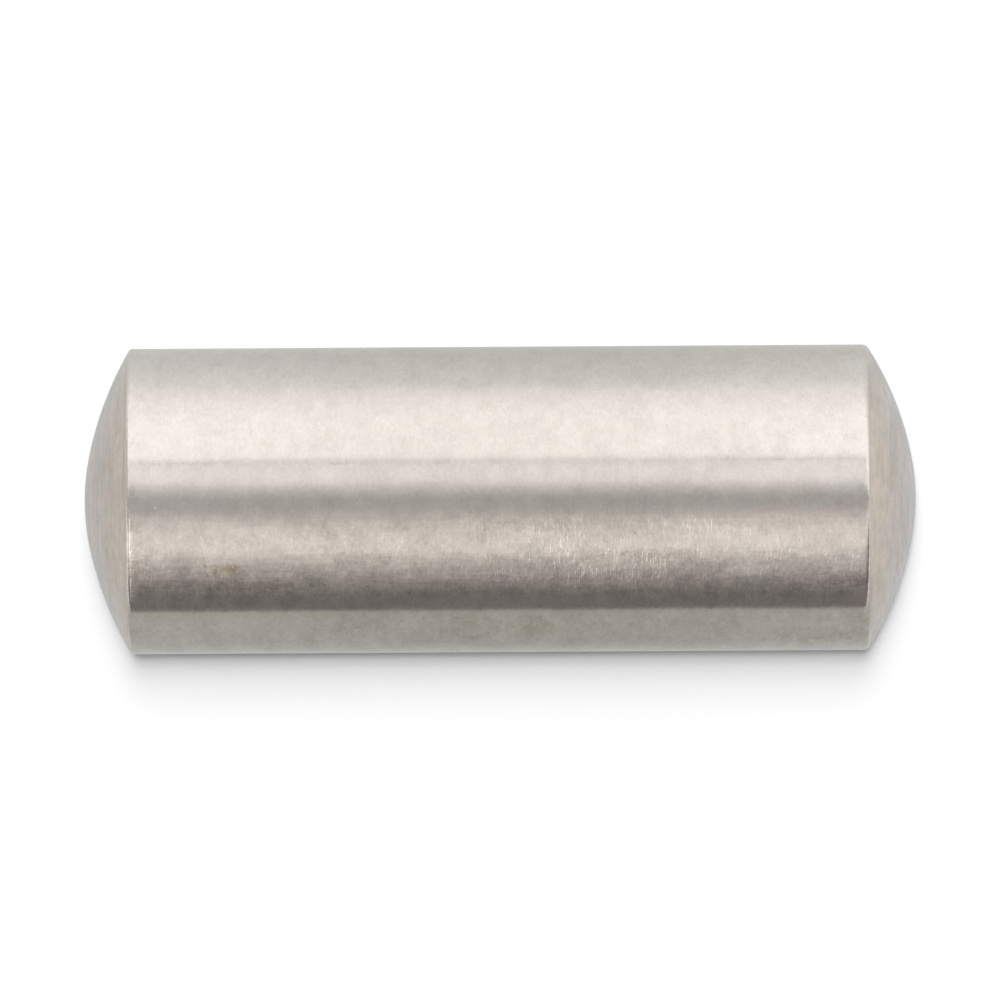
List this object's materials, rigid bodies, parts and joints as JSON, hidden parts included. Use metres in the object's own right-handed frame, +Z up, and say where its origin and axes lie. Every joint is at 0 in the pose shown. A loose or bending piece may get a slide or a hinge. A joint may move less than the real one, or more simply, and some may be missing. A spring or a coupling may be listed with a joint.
{
  "type": "dowel pin",
  "caption": "Parallel dowel pin of ground steel: a plain cylindrical shank with a shallow crown on each end, for locating two parts in reamed holes.",
  "frame": {"origin": "middle of the pin: on its axis, halfway between the two tips", "axes": "+X along the pin's axis towards its right end, +Z up, +Y away from the viewer's side; turning about X changes nothing"},
  "size_m": [0.0136, 0.005, 0.005],
  "materials": {
    "ground_steel": "ground shank with faint lengthwise and round streaks, satin turned crowns, slightly warm grey"
  },
  "bodies": {
    "root": {"dowel_pin": "ground_steel"}
  },
  "joints": []
}
